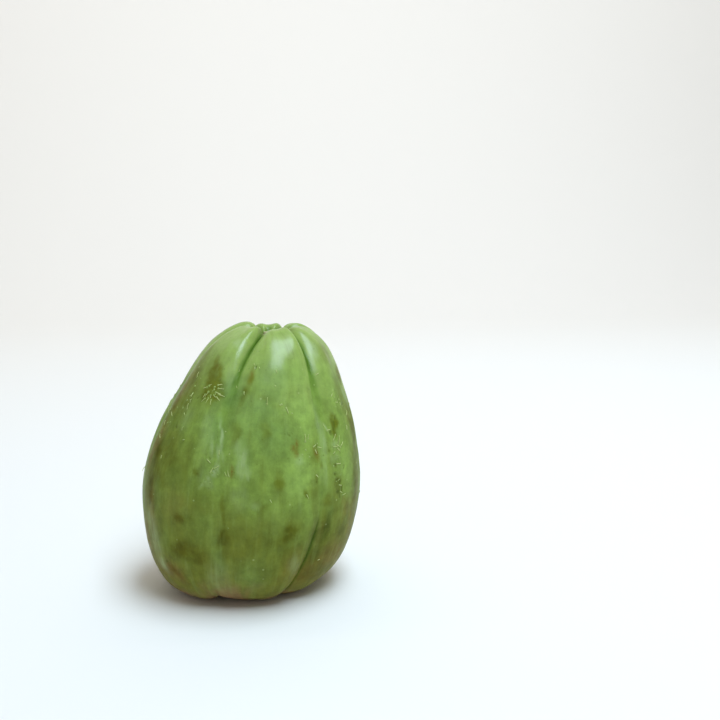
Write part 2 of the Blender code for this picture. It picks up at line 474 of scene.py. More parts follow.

# %% Bruises of the front, with painted shade along a crease among them, in the same form
# The last three bruises, along the lower right crease, are painted shade.
BRUISES = [
    (-46, 96.8, 1.5, 2.6, 0.7), (-42.5, 93.6, 2.4, 3.6, 0.9), (-41, 92.4, 3.2, 4.6, 1),
    (-40.4, 88, 3.4, 3.4, 1), (-38.6, 90.4, 3.4, 3.6, 1), (-35.5, 87.2, 4.2, 3.6, 1),
    (-37, 85, 6.4, 4.4, 1), (-37, 81, 3, 2.2, 0.45), (-8.6, 93.6, 1, 2, 0.5, 14),
    (-10.4, 90.4, 1.8, 3.4, 0.75, 14), (-12.2, 86.6, 1.8, 3.4, 0.75, 8),
    (-12.9, 82.8, 1.6, 3, 0.6, 4), (-13.3, 79.5, 1.5, 2.4, 0.35), (-63, 89.5, 2.5, 6, 0.6),
    (-70, 75, 2.6, 6, 0.5), (12.8, 53.5, 2.4, 5, 0.7), (-14, 32.5, 3, 3.6, 0.8),
    (-17, 29, 1.6, 2.4, 0.5), (-37, 26, 8.4, 5, 0.8), (-43, 24, 3.2, 3.2, 0.6),
    (-29, 24, 4.4, 4, 0.6), (-45.6, 15.8, 4.6, 2, 0.6, 48), (18, 33.4, 5.8, 4, 0.8, -35),
    (14, 30.6, 4, 3, 0.45), (23, 36.4, 2.6, 1.8, 0.4, -35), (4.6, 43.3, 3, 1.8, 0.6, -45),
    (1.5, 46.5, 2, 1.4, 0.4), (-7, 41, 2.2, 1.6, 0.35), (-14.6, 43, 1.3, 7, 0.6),
    (-12.8, 71, 2.2, 5.4, 0.6), (4, 71.5, 2.3, 4.6, 0.55), (1, 84, 4, 1.8, 0.4),
    (10, 81, 3.4, 1.8, 0.35), (54.3, 28.7, 4, 4, 0.5), (35, 9, 7, 2.4, 0.6),
    (51.4, 72.6, 1.9, 3.6, 1), (49.6, 68.6, 1.7, 2.4, 0.9), (33.5, 60.6, 2.2, 4, 0.5),
    (21.5, 65, 2, 3.4, 0.4), (32, 49, 4, 5, 0.45), (49.5, 48, 2.4, 4.6, 0.5),
    (-65.7, 61.2, 2.2, 5, 0.7), (-48.5, 61, 3.8, 6, 0.35), (-63.2, 46, 2, 6.5, 0.8),
    (-58, 40, 1.6, 6, 0.4), (-32.5, 39.4, 3.2, 2, 0.5), (-38.5, 38.6, 2.8, 2, 0.8),
    (-31, 56.9, 1.8, 1.8, 0.9), (-52, 50, 2.6, 3.4, 0.4), (33.7, 52.6, 1.1, 2.6, 0.8),
    (27.5, 47.3, 1.3, 1.4, 0.8), (36.9, 57.2, 0.8, 2, 0.8), (41, 43, 2.6, 3.2, 0.55),
    (48, 46.5, 2.2, 3.4, 0.3), (39, 36.5, 2, 4.6, 0.6, 4), (38.4, 30, 2, 4.8, 0.5, 10),
    (33, 14, 3, 5, 0.35, 14),
]

# %% Rusty scars, milky scuffs with some painted highlights, reflection and sheen, and pits of the front
SCARS = [
    (22.5, 66.9, 0.8, 1.7, 1, 12), (20.4, 65.2, 1.2, 1.3, 0.8), (21.7, 63, 1, 1.2, 0.8),
    (34.6, 62, 1.3, 2.2, 0.8), (32, 64.6, 0.9, 0.8, 0.4), (-11.6, 58.2, 0.9, 2, 0.9, 20),
    (-12.8, 56.2, 0.7, 0.9, 0.6), (-41, 94.6, 0.9, 1, 0.6), (-10.2, 91.4, 0.6, 2.4, 0.5, 14),
    (-23.2, 9.9, 1.2, 0.6, 1), (-51, 18.5, 0.5, 0.5, 0.7), (53.6, 41.2, 1, 1.6, 0.4),
    (38, 11, 4, 1.6, 0.25),
]
# Among the scuffs are painted light: painted highlights on the knuckles at -28.5 and 49.4 degrees, a
# painted reflection of the floor low on the left rim, from -63.5 to -56 degrees, and a painted sheen
# along the valley at 39 degrees.
BLOOMS_AND_SHEEN = [
    (-20.6, 69, 0.7, 7.5, 1, -6), (-25, 67, 0.8, 4.6, 0.7), (-19.8, 64, 0.8, 2.6, 0.8),
    (-30.5, 71, 2.6, 8, 0.35), (-28, 62, 2.6, 5, 0.1), (-27, 91, 1.8, 8, 0.25),
    (-50.5, 75.5, 3.4, 5, 0.3), (-20.6, 58.4, 1.1, 2.8, 1, 22), (-23, 54.4, 0.8, 4.6, 0.8, 55),
    (-22, 52.2, 1.6, 1.8, 0.4), (-26.4, 56, 2.4, 3.2, 0.2, 40), (-6.4, 62.5, 1.5, 5, 1),
    (-5.4, 57.2, 2.4, 2.6, 0.7), (-2.9, 55.7, 0.6, 1.6, 0.8, 25), (-9, 66, 2.4, 3.6, 0.45),
    (-6.5, 48, 3, 5, 0.3), (38.8, 68, 1.5, 10, 0.6), (39, 56, 1.4, 7, 0.45), (-17, 15, 5, 8, 0.4),
    (2, 9, 7, 3, 0.3), (42, 71, 0.6, 2.6, 1, -35), (-0.1, 45.6, 2.2, 1.8, 0.35),
    (23.7, 60.1, 2.2, 2.2, 0.6, 30), (9.6, 98.6, 2.6, 5, 0.3), (49, 63.6, 2.8, 1.8, 0.6),
    (47, 58.6, 2.4, 1.6, 0.4), (24.5, 19, 2.6, 5, 0.4), (-59, 28, 3.4, 10, 0.75),
    (-56, 17, 3, 4, 0.9), (-63.5, 34, 3, 6, 0.6), (54.2, 28.7, 2.4, 3.6, 0.08),
    (-28.5, 102.4, 2.2, 3.6, 0.95, -20), (49.4, 98.8, 2.2, 4, 1, 12),
]
PITS = [
    (52.7, 73.6, 0.7, 0.9, 0.8), (50.5, 71.4, 0.8, 1.6, 0.7), (49.5, 69.6, 0.8, 0.9, 0.8),
    (46.6, 68.3, 0.9, 0.8, 1), (44, 62, 0.9, 1.1, 0.6), (48, 55.7, 1.2, 0.9, 0.9),
    (54.3, 54.5, 0.9, 1.1, 0.6), (66.5, 77.4, 0.7, 0.7, 0.9), (54.9, 79.9, 0.6, 0.6, 0.8),
    (59, 78.6, 0.5, 0.5, 0.6), (50.9, 49.3, 0.9, 0.8, 1), (48.4, 50.4, 0.8, 0.7, 1),
    (47.2, 52.4, 0.6, 0.7, 0.9), (50.4, 47.2, 0.7, 0.6, 0.9), (47.6, 48.2, 0.6, 0.6, 0.8),
    (17.1, 70.4, 0.5, 0.5, 0.8), (52.6, 46, 0.7, 1.4, 1), (49.1, 45.4, 0.7, 1, 1),
    (50.6, 43.4, 0.7, 0.8, 0.9), (-50.4, 20.2, 0.5, 1, 1), (-48.8, 18.2, 0.5, 0.5, 1),
    (-7.9, 94.5, 0.5, 0.8, 0.9, 14), (-12.5, 85.4, 0.6, 0.7, 0.6), (-51, 18.5, 0.5, 0.5, 1),
    (27.5, 46.8, 0.7, 0.8, 0.6), (33.6, 51.6, 0.6, 0.8, 0.6), (-24, 62, 0.5, 0.6, 0.6),
    (-38.5, 84.6, 0.6, 1, 0.7, -30), (-33.5, 89.6, 0.6, 1, 0.7, 40),
]
FRONT = (-84, 74)  # the azimuths that the lists above cover


# %% Spots for the rest of the fruit
HALF_WIDTH = (cad_box[1].x - cad_box[0].x) / 2
TILT_SPREAD = 12  # degrees


def scattered(dice, count, widths, longer, heights, strengths=(0.4, 1)):
    """Seeded spots in the same form as the lists above."""
    spots = []
    for _ in range(count):
        azimuth = dice.uniform(FRONT[1], FRONT[0] + 360)
        half_width = dice.uniform(*widths)
        half_height = half_width * dice.uniform(*longer)
        place = (azimuth, dice.uniform(*heights), half_width, half_height)
        spots.append((*place, dice.uniform(*strengths), dice.gauss(0, TILT_SPREAD)))
    return spots


# %% Loose patches of pits and warts: azimuth, height, half width, half height, how many
RASHES = [
    (50, 57, 4, 13, 34), (59, 78, 5, 3, 10), (-36, 85, 4, 3, 10), (-56, 80, 5, 8, 14),
    (-71, 71, 4, 7, 12), (-24, 60, 5, 6, 10), (30, 64, 6, 4, 12), (15, 79, 6, 3, 6),
]
SPOT_SEED = 11
dice = random.Random(SPOT_SEED)


def rash(dice, middle, height, half_width, half_height, count):
    """Seeded places, as azimuths and heights, in a loose patch round a middle."""
    turn = math.degrees(1 * MM / HALF_WIDTH)
    return [
        (middle + dice.gauss(0, half_width * turn / 2), height + dice.gauss(0, half_height / 2))
        for _ in range(count)
    ]


rash_places = [place for row in RASHES for place in rash(dice, *row)]
PITS += [
    (*place, dice.uniform(0.3, 0.6), dice.uniform(0.3, 0.8), dice.uniform(0.3, 0.8))
    for place in rash_places[::2]
]
print("the patches have", len(rash_places), "places, for pits and warts in turn")

# %% Scatter each kind of spot: how many, widths, how much longer than wide, heights, strengths
BRUISES += scattered(dice, 34, (1.6, 6), (0.7, 2.2), (8, 96))
SCARS += scattered(dice, 13, (0.8, 1.8), (0.8, 2.6), (12, 90))
BLOOMS_AND_SHEEN += scattered(dice, 26, (0.7, 3), (1.5, 4), (25, 92))
PITS += scattered(dice, 34, (0.5, 1.0), (0.8, 1.8), (25, 90))
YOUNG += scattered(dice, 12, (5, 9), (1, 1.8), (45, 95), (0.4, 0.9))
COOL += scattered(dice, 10, (4, 9), (1, 1.8), (40, 85), (0.4, 0.8))
DEEP_GREEN_AND_SHADE += scattered(dice, 8, (3, 6), (1, 2.2), (8, 45), (0.3, 0.7))
OLIVE += scattered(dice, 14, (5, 11), (0.8, 1.5), (15, 75), (0.4, 0.8))
BROWN += scattered(dice, 10, (4, 9), (0.5, 1.6), (8, 45), (0.5, 1))
print("marks:", len(BRUISES) + len(SCARS) + len(BLOOMS_AND_SHEEN) + len(PITS))


# %% Measure how far each point lies inside the spots
WANDER_SEED = 8  # noise vectors start from the time of day unless they get a seed
WAVES = (5 * MM, 1.3 * MM)  # how wide the noise's waves are, and how far they lead a point
SMALL_WAVES = (1.8 * MM, 0.5 * MM)
WASH_WAVES = (14 * MM, 2.5 * MM)
PIT_WAVES = (1.8 * MM, 0.25 * MM)


def wandering(points, size, amount):
    """The points, each led a little astray, so that what is measured from them is uneven."""
    astray = [noise.noise_vector(Vector(point) / size) for point in points]
    return points + amount * np.array(astray)


def spot_mask(points, spots):
    """0 to 1 for each point: how far it lies inside any of the spots."""
    mask = np.zeros(len(points))
    for azimuth, height, half_width, half_height, strength, *tilt in spots:
        flat, away = nearness(points, azimuth, height, half_width, half_height, *tilt)
        mask = np.maximum(mask, strength * np.exp(-(flat**1.5) - away))
    return mask


noise.seed_set(WANDER_SEED)
astray = wandering(wandering(points, *WAVES), *SMALL_WAVES)
far_astray = wandering(astray, *WASH_WAVES)
masks = {
    "young": spot_mask(far_astray, YOUNG),
    "cool": spot_mask(far_astray, COOL),
    "olive": spot_mask(far_astray, OLIVE),
    "deep_green_and_shade": spot_mask(astray, DEEP_GREEN_AND_SHADE),
    "brown": spot_mask(far_astray, BROWN),
    "bruise": spot_mask(astray, BRUISES),
    "scar": spot_mask(astray, SCARS),
    "bloom_and_sheen": spot_mask(astray, BLOOMS_AND_SHEEN),
    "pit": spot_mask(wandering(points, *PIT_WAVES), PITS),
}
print("spots:", {name: round(float(mask.mean()), 3) for name, mask in masks.items()})


# %% [markdown]
# ## Depths
#
# The furrows are painted darker than the lobes beside them, and the bottom of a sharp one gets a
# thin dark line: both are painted shade.
# The finish can't know how deep a place lies, so that is measured here: the skin is smoothed, and
# a place that lies far under the smoothed skin is in a furrow. Much smoothing finds the broad
# furrows, and a little finds only the crevices. These and the pits are pressed in a bit more, so
# that they also show in the bare mesh.

# %% How deep the skin lies in its furrows
SHARP_ROUNDS = 9  # enough smoothing to fill only the sharp bottom of a furrow
FURROW_DEPTHS = (0.04 * MM, 0.5 * MM)  # where a furrow starts, and where it counts in full
CREVICE_DEPTHS = (0.04 * MM, 0.22 * MM)

depth = depth_under(DEPTH_ROUNDS)
depth -= np.median(depth)
masks["furrow"] = ease(*FURROW_DEPTHS, depth)
masks["crevice"] = ease(*CREVICE_DEPTHS, depth_under(SHARP_ROUNDS))
print("furrows lie up to", round(depth.max() / MM, 2), "mm under the smoothed skin")

# %% Press the crevices and the small pits into the skin
CREVICE_DEPTH = 0.25 * MM
PIT_DEPTH = 0.30 * MM

sinking = CREVICE_DEPTH * masks["crevice"] + PIT_DEPTH * masks["pit"]
points -= normals_of(skin.data) * sinking[:, None]
write_points(skin.data, points)
skin_tree = tree_of(skin.data)
print("crevices and pits sink by up to", round(sinking.max() / MM, 2), "mm")

# %% Keep the numbers on the mesh, and each point's place on a drum for the streaks
for name, mask in masks.items():
    layer = skin.data.attributes.new(name, "FLOAT", "POINT")
    layer.data.foreach_set("value", mask.astype(np.float32))
turns = np.radians(azimuths)
drum_points = np.stack([np.sin(turns), np.cos(turns), points[:, 2] / LENGTH], axis=1)
drum_layer = skin.data.attributes.new("drum", "FLOAT_VECTOR", "POINT")
drum_layer.data.foreach_set("vector", drum_points.ravel().astype(np.float32))
print("kept on the mesh:", ", ".join([*masks, "drum"]))

# %% [markdown]
# ## Bristles
#
# A chayote carries scattered soft bristles, pale and a few millimetres long, each on a small
# wart. A hair system would be the usual way for fur, but these are few, each one stands by
# itself, and a part made of real meshes can be used anywhere. So each bristle is a slim cone,
# bent over with its own curve, and each wart a low dome of skin. All bristles are one mesh and
# all warts another, because the two have different finishes.

# %% A straight bristle and a flat wart, to be copied
BRISTLE_SIDES = 5
BRISTLE_JOINTS = 4
BRISTLE_ROOT = 0.18 * MM
BRISTLE_TIP = 0.08 * MM
WART_FLATNESS = 0.42


def pattern(name, shape):
    """A mesh of the shape, to be copied many times."""
    mesh = bpy.data.meshes.new(name)
    shape.to_mesh(mesh)
    shape.free()
    return mesh


def straight_bristle():
    """A slim cone of unit length that stands on the origin."""
    shape = bmesh.new()
    bmesh.ops.create_cone(
        shape,
        cap_ends=True,
        segments=BRISTLE_SIDES,
        radius1=BRISTLE_ROOT,
        radius2=BRISTLE_TIP,
        depth=1,
        matrix=Matrix.Translation((0, 0, 0.5)),
    )
    long_edges = [
        edge for edge in shape.edges if abs(edge.verts[0].co.z - edge.verts[1].co.z) > 0.5
    ]
    bmesh.ops.subdivide_edges(shape, edges=long_edges, cuts=BRISTLE_JOINTS - 1)
    return pattern("straight bristle", shape)


def round_wart():
    """A small flattened sphere of unit radius, half of which will stand out of the skin."""
    shape = bmesh.new()
    flat = Matrix.Diagonal((1, 1, WART_FLATNESS, 1))
    bmesh.ops.create_uvsphere(shape, u_segments=8, v_segments=6, radius=1, matrix=flat)
    return pattern("round wart", shape)


BRISTLE_PATTERN = straight_bristle()
WART_PATTERN = round_wart()
bristle_shape = bmesh.new()
wart_shape = bmesh.new()


def copied(shape, mesh):
    """Adds a copy of a pattern to a shape, and returns the copy's vertices."""
    before = len(shape.verts)
    shape.from_mesh(mesh, face_normals=False, vertex_normals=False)
    shape.verts.ensure_lookup_table()
    return shape.verts[before:]


# %% One bent bristle on its wart
BRISTLE_SUNK = 0.12 * MM
WART_SUNK = 0.06 * MM
WART_RADIUS = 0.20  # in mm, and larger by the next number for each mm of its bristle's length
WART_GROWTH = 0.11


def add_bristle(azimuth, height, length, lean, towards, curl=0.35):
    """lean is degrees away from straight out, towards is degrees round from up the fruit."""
    place, normal = on_skin(azimuth, height * MM)
    across, up = frame_at(place, normal)
    turn = math.radians(towards)
    heading = (up * math.cos(turn) + across * math.sin(turn)).normalized()
    side = heading.cross(normal)
    for vertex in copied(bristle_shape, BRISTLE_PATTERN):
        share = vertex.co.z
        bend = math.radians(lean) + curl * share
        spine = length * MM * share * (normal * math.cos(bend) + heading * math.sin(bend))
        thick = (heading * math.cos(bend) - normal * math.sin(bend)) * vertex.co.x
        vertex.co = place - normal * BRISTLE_SUNK + spine + thick + side * vertex.co.y
    add_wart(place, normal, WART_RADIUS + WART_GROWTH * length)


def add_wart(place, normal, radius):
    """A low dome of skin, sunk a little so that its rim doesn't show."""
    lie = normal.to_track_quat("Z", "Y").to_matrix()
    for vertex in copied(wart_shape, WART_PATTERN):
        vertex.co = place - normal * WART_SUNK + lie @ vertex.co * radius * MM


# %% Bristles listed one by one: azimuth, height, length, lean, towards
FRONT_BRISTLES = [
    (3.7, 81.5, 2.6, 50, 5), (16.3, 79.8, 2.6, 55, 170), (27.1, 67.2, 3, 60, 2),
    (28.8, 68.2, 1.6, 55, 8), (32.4, 64.8, 1.6, 60, 60), (33.6, 63.6, 1.6, 60, 170),
    (35.8, 64.4, 1.6, 65, 110), (43.9, 69.6, 2.6, 74, 85), (41.9, 72.1, 2, 70, 160),
    (47.8, 65.4, 2.8, 55, 30), (52.2, 64.2, 2.8, 55, 8), (50.2, 63.6, 2.6, 66, 125),
    (47.2, 63.2, 2.4, 65, 100), (50.4, 62.3, 2, 60, 140), (54.1, 62.6, 2, 55, 40),
    (48.6, 61.2, 1.8, 62, -110), (67.8, 73, 1.8, 50, 20), (63.1, 67.9, 2, 50, -20),
    (49, 56.4, 2, 60, 95), (50.2, 47.9, 1.4, 60, 110), (51.2, 45.2, 1.4, 60, 130),
    (53.1, 43.4, 1.8, 60, 80), (49.2, 49.6, 1.2, 60, 60), (33.1, 54.3, 1.4, 50, 140),
    (27.2, 47.4, 1.6, 50, 160), (-12.9, 56, 2.2, 55, -10), (-14.3, 56.1, 1.6, 55, -20),
    (-39.8, 85, 3.2, 76, -150), (-42, 84, 2, 72, -160), (-32.6, 86.6, 2.4, 76, 88),
    (-30.6, 84.6, 2.6, 72, 108), (-33.6, 87.8, 2.2, 78, 72), (-33.4, 85.2, 2.4, 76, 100),
    (-34.2, 84.2, 2, 74, 125), (-36.6, 84, 1.8, 74, 165), (-41.2, 87.2, 3.2, 82, 48),
    (-37.6, 82.8, 2.6, 72, -165), (-34.8, 82.4, 2.4, 72, 170), (-31.4, 83.6, 2.2, 74, 130),
    (-43, 86.6, 2.6, 76, -110), (-40.6, 82.6, 2.2, 74, -140), (-59.2, 89.4, 2.2, 50, 15),
    (-54.2, 83.8, 2.2, 50, 160), (-52.9, 77.9, 2.4, 50, 10), (-54.2, 76.3, 1.6, 50, 120),
    (-53, 80.5, 1.6, 50, 30), (-76.1, 74.2, 2.4, 45, 10), (-75, 75.5, 2, 50, 60),
    (-66.6, 74.1, 1.8, 50, -30), (-72.3, 70, 2.2, 50, 20), (-69.5, 65.3, 1.6, 50, -20),
    (-59.4, 59, 1.6, 50, 30), (-25.4, 61.8, 2, 65, 130), (-22.6, 57, 2.4, 70, 25),
    (-21, 58.6, 2.2, 65, 60), (-19.6, 63.5, 1.8, 60, 0), (-9.8, 95.2, 0.8, 20, 0),
    (-5.2, 94.5, 1, 40, 150), (-19.9, 87.1, 0.8, 20, 0), (-21.8, 92.7, 0.8, 20, 0),
    (-13.4, 85.7, 1.4, 50, 170), (44, 90.3, 1.2, 40, 60), (8.5, 93.4, 1.2, 50, 175),
    (-49.6, 70.5, 1.6, 50, 20), (-45.5, 67.3, 1.4, 50, 80), (52.8, 81.7, 1.2, 50, 30),
    (56.6, 79.1, 1.2, 50, 110), (61.8, 77.4, 1.4, 50, -20), (41.5, 18.2, 1, 40, 40),
    (8, 47.2, 1.2, 50, 150), (176, 104.6, 1.4, 20, 0),
]

for azimuth, height, length, lean, towards in FRONT_BRISTLES:
    add_bristle(azimuth, height, length, lean, towards)
print("bristles placed one by one:", len(FRONT_BRISTLES))

# %% Tufts and strays on the other sides, and bare warts all round and in the patches
TUFTS = [
    (100, 78), (118, 60), (136, 86), (160, 52), (184, 74), (205, 64), (222, 84), (243, 58),
    (262, 78),
]
TUFT_SPREAD = 3.5  # degrees, and mm
STRAYS = 36
BARE_WARTS = 34


def stray(dice, azimuth, height):
    """A bristle of chance length, lean, direction and curl."""
    length = dice.uniform(0.9, 2.4)
    lean = dice.uniform(35, 68)
    towards = dice.uniform(-180, 180)
    add_bristle(azimuth, height, length, lean, towards, curl=dice.uniform(0.2, 0.8))


for azimuth, height in TUFTS:
    for _ in range(dice.randint(4, 8)):
        stray(dice, azimuth + dice.gauss(0, TUFT_SPREAD), height + dice.gauss(0, TUFT_SPREAD))
for _ in range(STRAYS):
    stray(dice, dice.uniform(FRONT[1], FRONT[0] + 360), dice.uniform(22, 95))
for _ in range(BARE_WARTS):
    place, normal = on_skin(dice.uniform(0, 360), dice.triangular(32, 98, 74) * MM)
    add_wart(place, normal, dice.uniform(0.25, 0.45))
for azimuth, height in rash_places[1::2]:
    place, normal = on_skin(azimuth, height * MM)
    add_wart(place, normal, dice.uniform(0.25, 0.5))
print("warts in all:", len(wart_shape.verts) // len(WART_PATTERN.vertices))


# %% Make them pieces
def new_piece(name, shape):
    """An object at the origin that holds the shape, with smooth shading."""
    mesh = bpy.data.meshes.new(name)
    shape.to_mesh(mesh)
    shape.free()
    mesh.shade_smooth()
    piece = bpy.data.objects.new(name, mesh)
    bpy.context.scene.collection.objects.link(piece)
    print(name, "has", len(mesh.polygons), "faces")
    return piece


bristles = new_piece("bristles", bristle_shape)
warts = new_piece("warts", wart_shape)

# %% [markdown]
# ## The stem scar
#
# Where the stalk was snapped off, a short corky stub is left at the bottom of the pit: a ring of
# dry fibres round a slightly hollow core. It starts as a short cone, its top is inset and pushed
# in, and noise roughens it.

# %% The stub
STUB_RADIUS = 2.2 * MM
STUB_HEIGHT = 1.6 * MM
STUB_FLARE = 1.25  # how much wider it is at its foot
STUB_SIDES = 28
STUB_CUTS = 5
STUB_RISE = 0.25 * STUB_HEIGHT
TOP_STEPS = ((0.35, -0.05), (0.5, 0.55), (0.8, 0.25))  # each inset of the top, and its drop, in mm

stub_shape = bmesh.new()
bmesh.ops.create_cone(
    stub_shape,
    cap_ends=True,
    segments=STUB_SIDES,
    radius1=STUB_RADIUS * STUB_FLARE,
    radius2=STUB_RADIUS,
    depth=STUB_HEIGHT,
)
top = max(stub_shape.faces, key=lambda face: face.calc_center_median().z)
sides = [
    edge for edge in stub_shape.edges if abs(edge.verts[0].co.z - edge.verts[1].co.z) > STUB_HEIGHT / 2
]
for inward, drop in TOP_STEPS:
    bmesh.ops.inset_region(stub_shape, faces=[top], thickness=inward * MM, depth=-drop * MM)
bmesh.ops.subdivide_edges(stub_shape, edges=sides, cuts=STUB_CUTS)

# %% Roughen it, and set it in the pit
FIBRES = 11
GRAIN_SIZE = 0.9 * MM
GRAIN_HEIGHT = 0.28 * MM

for vertex in stub_shape.verts:
    ring = math.atan2(vertex.co.y, vertex.co.x)
    fibre = math.sin(ring * FIBRES + 1.3 * math.sin(3 * ring))
    rough = noise.noise(vertex.co / GRAIN_SIZE)
    vertex.co += Vector((vertex.co.x, vertex.co.y, 0)) * (0.05 * fibre + 0.10 * rough)
    vertex.co.z += GRAIN_HEIGHT * rough
bmesh.ops.translate(stub_shape, verts=stub_shape.verts, vec=pit + Vector((0, 0, STUB_RISE)))
bmesh.ops.recalc_face_normals(stub_shape, faces=stub_shape.faces)
stem_scar = new_piece("stem_scar", stub_shape)
stub_smoothing = stem_scar.modifiers.new("smoothing", "SUBSURF")
stub_smoothing.levels = stub_smoothing.render_levels = 1

# %% [markdown]
# ## Finishes
#
# Every finish below is built from a few kinds of node, so small helpers come first: each adds a
# node, joins it up and gives back its output. Then comes a group that more than one finish uses:
# mottling, which is broken-up noise in two sizes, as grown things have it.


# %% Helpers for building finishes
def add_node(tree, kind, inputs=None, **settings):
    """A node with its settings. Each input is a value, or the socket it comes from."""
    made = tree.nodes.new("ShaderNode" + kind)
    for name, value in settings.items():
        setattr(made, name, value)
    for name, value in (inputs or {}).items():
        if isinstance(value, bpy.types.NodeSocket):
            tree.links.new(value, made.inputs[name])
        else:
            made.inputs[name].default_value = value
    return made


def mixed(tree, share, first, second, blend="MIX"):
    """A colour between two colours."""
    return add_node(
        tree, "Mix", {0: share, 6: first, 7: second}, data_type="RGBA", blend_type=blend
    ).outputs[2]


def eased(tree, value, low, high, to_low=0.0, to_high=1.0):
    """The value's smooth rise from to_low, where it is low, to to_high, where it is high."""
    inputs = {0: value, 1: low, 2: high, 3: to_low, 4: to_high}
    return add_node(tree, "MapRange", inputs, interpolation_type="SMOOTHSTEP").outputs[0]


def tinted(tree, under, over, value, start, full, most=1.0):
    """The colour under, which goes over to another as the value goes from start to full."""
    return mixed(tree, eased(tree, value, start, full, 0.0, most), under, over)


def maths(tree, operation, first, second=0.0):
    return add_node(tree, "Math", {0: first, 1: second}, operation=operation).outputs[0]


def times(tree, first, second):
    return maths(tree, "MULTIPLY", first, second)


# %% Helpers for what a finish reads
def noise_at(tree, vector, scale, detail=3.0, roughness=0.5, distortion=0.0):
    inputs = {"Vector": vector, "Scale": scale, "Detail": detail}
    inputs.update({"Roughness": roughness, "Distortion": distortion})
    return add_node(tree, "TexNoise", inputs).outputs[0]


def attribute(tree, name, output="Fac"):
    return add_node(tree, "Attribute", attribute_name=name).outputs[output]


def stretched(tree, vector, scale):
    return add_node(tree, "Mapping", {"Vector": vector, "Scale": scale}).outputs[0]


def height_share(tree, place):
    """How high a place is: 0 on the table, 1 at the top of the fruit."""
    return maths(tree, "DIVIDE", add_node(tree, "SeparateXYZ", {0: place}).outputs["Z"], LENGTH)


def new_finish(name):
    """A new material: its node tree, and its Principled shader."""
    material = bpy.data.materials.new(name)
    material.use_nodes = True
    return material, material.node_tree, material.node_tree.nodes["Principled BSDF"]


# %% A group for mottling
def mottling_group():
    """A vector and a patch size go in, and two masks come out: broad patches and fine ones."""
    group = bpy.data.node_groups.new("mottling", "ShaderNodeTree")
    group.interface.new_socket("Vector", in_out="INPUT", socket_type="NodeSocketVector")
    group.interface.new_socket("Size", in_out="INPUT", socket_type="NodeSocketFloat")
    group.interface.new_socket("Broad", in_out="OUTPUT", socket_type="NodeSocketFloat")
    group.interface.new_socket("Fine", in_out="OUTPUT", socket_type="NodeSocketFloat")
    start = group.nodes.new("NodeGroupInput")
    end = group.nodes.new("NodeGroupOutput")
    vector = start.outputs["Vector"]
    per_size = maths(group, "DIVIDE", 1.0, start.outputs["Size"])
    broad = noise_at(group, vector, per_size, 2.0, 0.55, 0.3)
    fine = noise_at(group, vector, times(group, per_size, 5.0), 4.0, 0.6)
    group.links.new(eased(group, broad, 0.3, 0.7), end.inputs["Broad"])
    group.links.new(eased(group, fine, 0.3, 0.7), end.inputs["Fine"])
    return group


MOTTLING = mottling_group()
print("the mottling group has", len(MOTTLING.nodes), "nodes")


def mottled(tree, vector, size):
    """The mottling group, for patches of about that size in metres."""
    made = add_node(tree, "Group", node_tree=MOTTLING)
    tree.links.new(vector, made.inputs["Vector"])
    made.inputs["Size"].default_value = size
    return made.outputs["Broad"], made.outputs["Fine"]


# %% [markdown]
# ## The skin's finish
#
# The green of a chayote is uneven: light and yellowish near the stem, deeper on the belly, olive
# and a little brown near the base, with faint streaks from end to end. Part of the change from top
# to base is painted light and shade: the top is painted lighter, as if lit from overhead, and the
# base darker and browner, as if in shade with warm light thrown up from below. The furrows are
# painted darker, which is painted shade. Over that lie the washes and the marks, whose soft masks
# are broken up with noise. One noise would look like camouflage, so each effect has its own, at
# its own size. The wax is a clear coat: thick on the shoulders, thin further down and in the
# furrows, where the skin stays matt.

# %% The skin's colours
# Lighter near the stem and darker, browner towards the base: partly the fruit's own colour, partly
# painted light from overhead, painted shade low down and painted warm light thrown up from below.
STEM_GREEN_AND_TOP_LIGHT = (0.268, 0.375, 0.086, 1)
BELLY_GREEN = (0.194, 0.284, 0.052, 1)
BASE_OLIVE_AND_SHADE = (0.157, 0.175, 0.022, 1)
FOOT_BROWN_AND_SHADE = (0.222, 0.182, 0.052, 1)
RIM_BROWN_AND_BOUNCE_LIGHT = (0.295, 0.175, 0.085, 1)
# The furrow and crease greens are darker as painted shade in the folds.
FURROW_SHADE_GREEN = (0.080, 0.170, 0.012, 1)
STREAK_GREEN = (0.255, 0.37, 0.085, 1)
CREASE_SHADE_OLIVE = (0.055, 0.085, 0.010, 1)
VEIN_PALE = (0.34, 0.46, 0.15, 1)
FLECK_PALE = (0.50, 0.58, 0.25, 1)
PORE_DARK = (0.09, 0.125, 0.02, 1)
WASHES = {
    "young": (0.278, 0.420, 0.092, 1),
    "cool": (0.170, 0.282, 0.072, 1),
    "olive": (0.141, 0.163, 0.020, 1),
    "brown": (0.188, 0.138, 0.027, 1),
    # The deep green is mostly painted shade.
    "deep_green_and_shade": (0.076, 0.098, 0.010, 1),
}
MARKS = {
    "bruise": (0.60, 0.50, 0.20, 1),  # this one is multiplied, so it darkens what lies under it
    "scar": (0.170, 0.105, 0.014, 1),
    # the pale scuffs' colour, also used for painted highlights, reflection and sheen
    "bloom_and_sheen": (0.36, 0.47, 0.21, 1),
    # the pits are darkened as painted shade in their hollows
    "pit": (0.090, 0.120, 0.015, 1),
}

